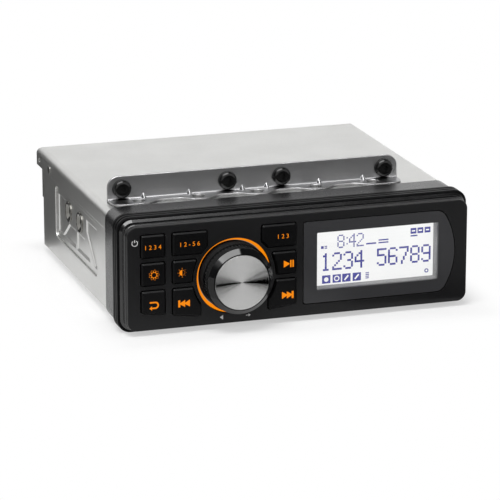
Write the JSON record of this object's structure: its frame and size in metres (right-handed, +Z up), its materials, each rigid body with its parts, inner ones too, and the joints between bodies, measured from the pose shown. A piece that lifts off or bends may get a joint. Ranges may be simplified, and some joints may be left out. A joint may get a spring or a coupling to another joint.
{
  "type": "car audio receiver",
  "caption": "Single-slot car audio receiver with a sealed black front, push-and-turn knob, lit display, folded steel case and a bolt-on bracket on the cover.",
  "frame": {"origin": "under the middle of the part, at the level of the seal's underside", "axes": "+X to the right of the face, +Y from the face to the back, +Z up"},
  "size_m": [0.194, 0.1962, 0.0733],
  "materials": {
    "case_steel": "satin galvanised sheet",
    "bracket_steel": "bright plated sheet",
    "black_screw": "black zinc, satin",
    "small_screw": "zinc plated",
    "nut_steel": "bright plated",
    "face_plastic": "fine satin black",
    "bezel_plastic": "semi-gloss black",
    "key_plastic": "satin black",
    "collar_plastic": "satin dark",
    "gasket_rubber": "matt rubber",
    "panel_plastic": "smooth smoked black",
    "window_clear": "clear",
    "frame_plastic": "grey",
    "lcd_glass": "lit white",
    "light_plastic": "milky",
    "ring_orange": "lit orange",
    "knob_plastic": "gloss black",
    "knob_aluminium": "spun",
    "shaft_steel": "turned",
    "switch_plastic": "moulded",
    "board_green": "solder mask",
    "part_black": "moulded",
    "can_steel": "tinned",
    "sink_aluminium": "extruded",
    "standoff_brass": "turned",
    "choke_core": "coated core",
    "ribbon_film": "film",
    "socket_plastic": "moulded",
    "contact_brass": "plated",
    "fuse_plastic": "clear tinted"
  },
  "bodies": {
    "receiver": {"amplifier_chip": "part_black", "antenna_socket": "nut_steel", "backlight": "light_plastic", "bezel_screws": "small_screw", "blade_fuse": "fuse_plastic", "board_screws": "small_screw", "board_standoffs": "standoff_brass", "bracket_nuts": "small_screw", "bracket_screws": "black_screw", "capacitors": "part_black", "chassis_tub": "case_steel", "cover_screws": "small_screw", "display_frame": "frame_plastic", "display_panel": "panel_plastic", "display_window": "window_clear", "encoder_body": "can_steel", "face_plate": "face_plastic", "front_bezel": "bezel_plastic", "front_board": "board_green", "front_board_screws": "small_screw", "front_collar": "collar_plastic", "front_plug": "socket_plastic", "fuse_holder": "socket_plastic", "harness_contacts": "contact_brass", "harness_socket": "socket_plastic", "heat_sink": "sink_aluminium", "key_lights": "light_plastic", "key_switches": "switch_plastic", "lcd_panel": "lcd_glass", "light_guide": "light_plastic", "light_ring": "ring_orange", "main_board": "board_green", "main_plug": "socket_plastic", "mounting_bracket": "bracket_steel", "phono_jacks": "nut_steel", "power_choke": "choke_core", "rear_panel": "case_steel", "rear_screws": "small_screw", "ribbon_cable": "ribbon_film", "seal_gasket": "gasket_rubber", "side_nuts": "nut_steel", "top_cover": "case_steel", "tuner_module": "can_steel"},
    "knob": {"knob_skirt": "knob_plastic", "knob_cap": "knob_aluminium", "encoder_shaft": "shaft_steel"},
    "rotor": {"encoder_rotor": "part_black"},
    "source_button": {"source_key": "key_plastic"},
    "settings_button": {"settings_key": "key_plastic"},
    "return_button": {"return_key": "key_plastic"},
    "preset_button": {"preset_key": "key_plastic"},
    "brightness_button": {"brightness_key": "key_plastic"},
    "previous_button": {"previous_key": "key_plastic"},
    "band_button": {"band_key": "key_plastic"},
    "play_button": {"play_key": "key_plastic"},
    "next_button": {"next_key": "key_plastic"}
  },
  "joints": [
    {"name": "knob_turn", "type": "hinge", "parent": "receiver", "child": "rotor", "pos_m": [-0.0362, -0.0849, 0.0284], "axis": [0, 1, 0], "continuous": true},
    {"name": "knob_push", "type": "slide", "parent": "rotor", "child": "knob", "axis": [0, 1, 0], "range_m": [0, 0.0005], "stiffness_N_per_m": 3000},
    {"name": "source_push", "type": "slide", "parent": "receiver", "child": "source_button", "axis": [0, 1, 0], "range_m": [0, 0.0006], "stiffness_N_per_m": 1200},
    {"name": "settings_push", "type": "slide", "parent": "receiver", "child": "settings_button", "axis": [0, 1, 0], "range_m": [0, 0.0006], "stiffness_N_per_m": 1200},
    {"name": "return_push", "type": "slide", "parent": "receiver", "child": "return_button", "axis": [0, 1, 0], "range_m": [0, 0.0006], "stiffness_N_per_m": 1200},
    {"name": "preset_push", "type": "slide", "parent": "receiver", "child": "preset_button", "axis": [0, 1, 0], "range_m": [0, 0.0006], "stiffness_N_per_m": 1200},
    {"name": "brightness_push", "type": "slide", "parent": "receiver", "child": "brightness_button", "axis": [0, 1, 0], "range_m": [0, 0.0006], "stiffness_N_per_m": 1200},
    {"name": "previous_push", "type": "slide", "parent": "receiver", "child": "previous_button", "axis": [0, 1, 0], "range_m": [0, 0.0006], "stiffness_N_per_m": 1200},
    {"name": "band_push", "type": "slide", "parent": "receiver", "child": "band_button", "axis": [0, 1, 0], "range_m": [0, 0.0006], "stiffness_N_per_m": 1200},
    {"name": "play_push", "type": "slide", "parent": "receiver", "child": "play_button", "axis": [0, 1, 0], "range_m": [0, 0.0006], "stiffness_N_per_m": 1200},
    {"name": "next_push", "type": "slide", "parent": "receiver", "child": "next_button", "axis": [0, 1, 0], "range_m": [0, 0.0006], "stiffness_N_per_m": 1200}
  ]
}
